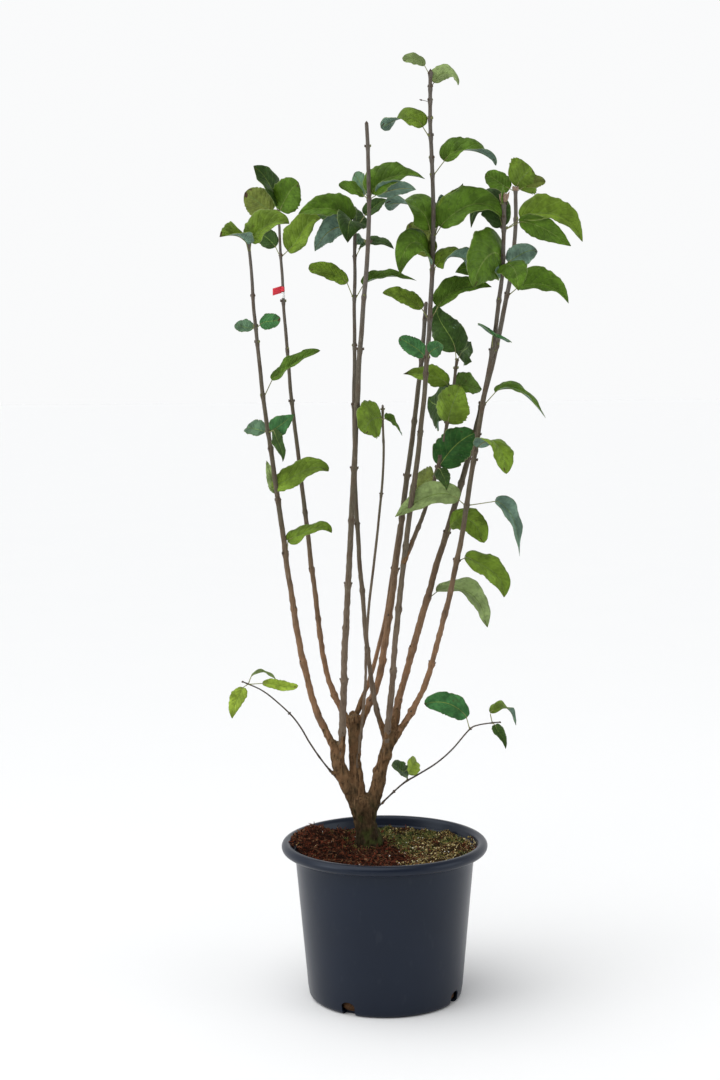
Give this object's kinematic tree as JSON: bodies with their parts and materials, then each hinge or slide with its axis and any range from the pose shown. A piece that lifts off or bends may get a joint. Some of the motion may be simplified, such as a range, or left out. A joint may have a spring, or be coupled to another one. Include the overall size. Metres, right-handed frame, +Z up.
{
  "type": "potted lilac bush",
  "caption": "Young potted lilac bush: short pruned trunk, open vase of slender canes with sparse leaves, in a round plastic nursery pot.",
  "frame": {"origin": "centre of the pot's flat underside", "axes": "+Z up the plant, -Y towards the front of the pot, +X to the right seen from the front"},
  "size_m": [0.6021, 0.3714, 1.6025],
  "materials": {
    "pot": "semi-matte moulded dark blue-grey plastic, scuffed",
    "soil": "moist peat and bark with grit and moss",
    "bark": "rough dark brown-olive bark",
    "cane": "smooth grey-brown young bark with raised nodes",
    "leaf": "satin leaves, dark green above and grey-green below"
  },
  "bodies": {
    "root": {"pot": "pot", "soil": "soil", "mulch_heap": "soil", "trunk": "bark", "bough_centre": "bark", "bough_left": "bark", "bough_right": "bark", "cane_1": "cane", "cane_2": "cane", "cane_3": "cane", "cane_4": "cane", "cane_5": "cane", "cane_6": "cane", "cane_7": "cane", "cane_8": "cane", "cane_9": "cane", "cane_10": "cane", "cane_11": "cane", "twig_left": "cane", "twig_right": "cane", "foliage_cane_1_1": "leaf", "foliage_cane_1_2": "leaf", "foliage_cane_1_3": "leaf", "foliage_cane_1_4": "leaf", "foliage_cane_1_5": "leaf", "foliage_cane_1_6": "leaf", "foliage_cane_2_1": "leaf", "foliage_cane_2_2": "leaf", "foliage_cane_3_1": "leaf", "foliage_cane_4_1": "leaf", "foliage_cane_5_1": "leaf", "foliage_cane_5_2": "leaf", "foliage_cane_5_3": "leaf", "foliage_cane_7_1": "leaf", "foliage_cane_7_2": "leaf", "foliage_cane_7_3": "leaf", "foliage_cane_7_4": "leaf", "foliage_cane_7_5": "leaf", "foliage_cane_7_6": "leaf", "foliage_cane_7_7": "leaf", "foliage_cane_8_1": "leaf", "foliage_cane_8_2": "leaf", "foliage_cane_8_3": "leaf", "foliage_cane_8_4": "leaf", "foliage_cane_9_1": "leaf", "foliage_cane_9_2": "leaf", "foliage_cane_9_3": "leaf", "foliage_cane_9_4": "leaf", "foliage_cane_9_5": "leaf", "foliage_cane_9_6": "leaf", "foliage_cane_9_7": "leaf", "foliage_cane_9_8": "leaf", "foliage_cane_10_1": "leaf", "foliage_cane_10_2": "leaf", "foliage_cane_10_3": "leaf", "foliage_cane_10_4": "leaf", "foliage_twig_left_1": "leaf", "foliage_twig_right_1": "leaf", "foliage_twig_right_2": "leaf", "foliage_twig_right_3": "leaf"}
  },
  "joints": []
}
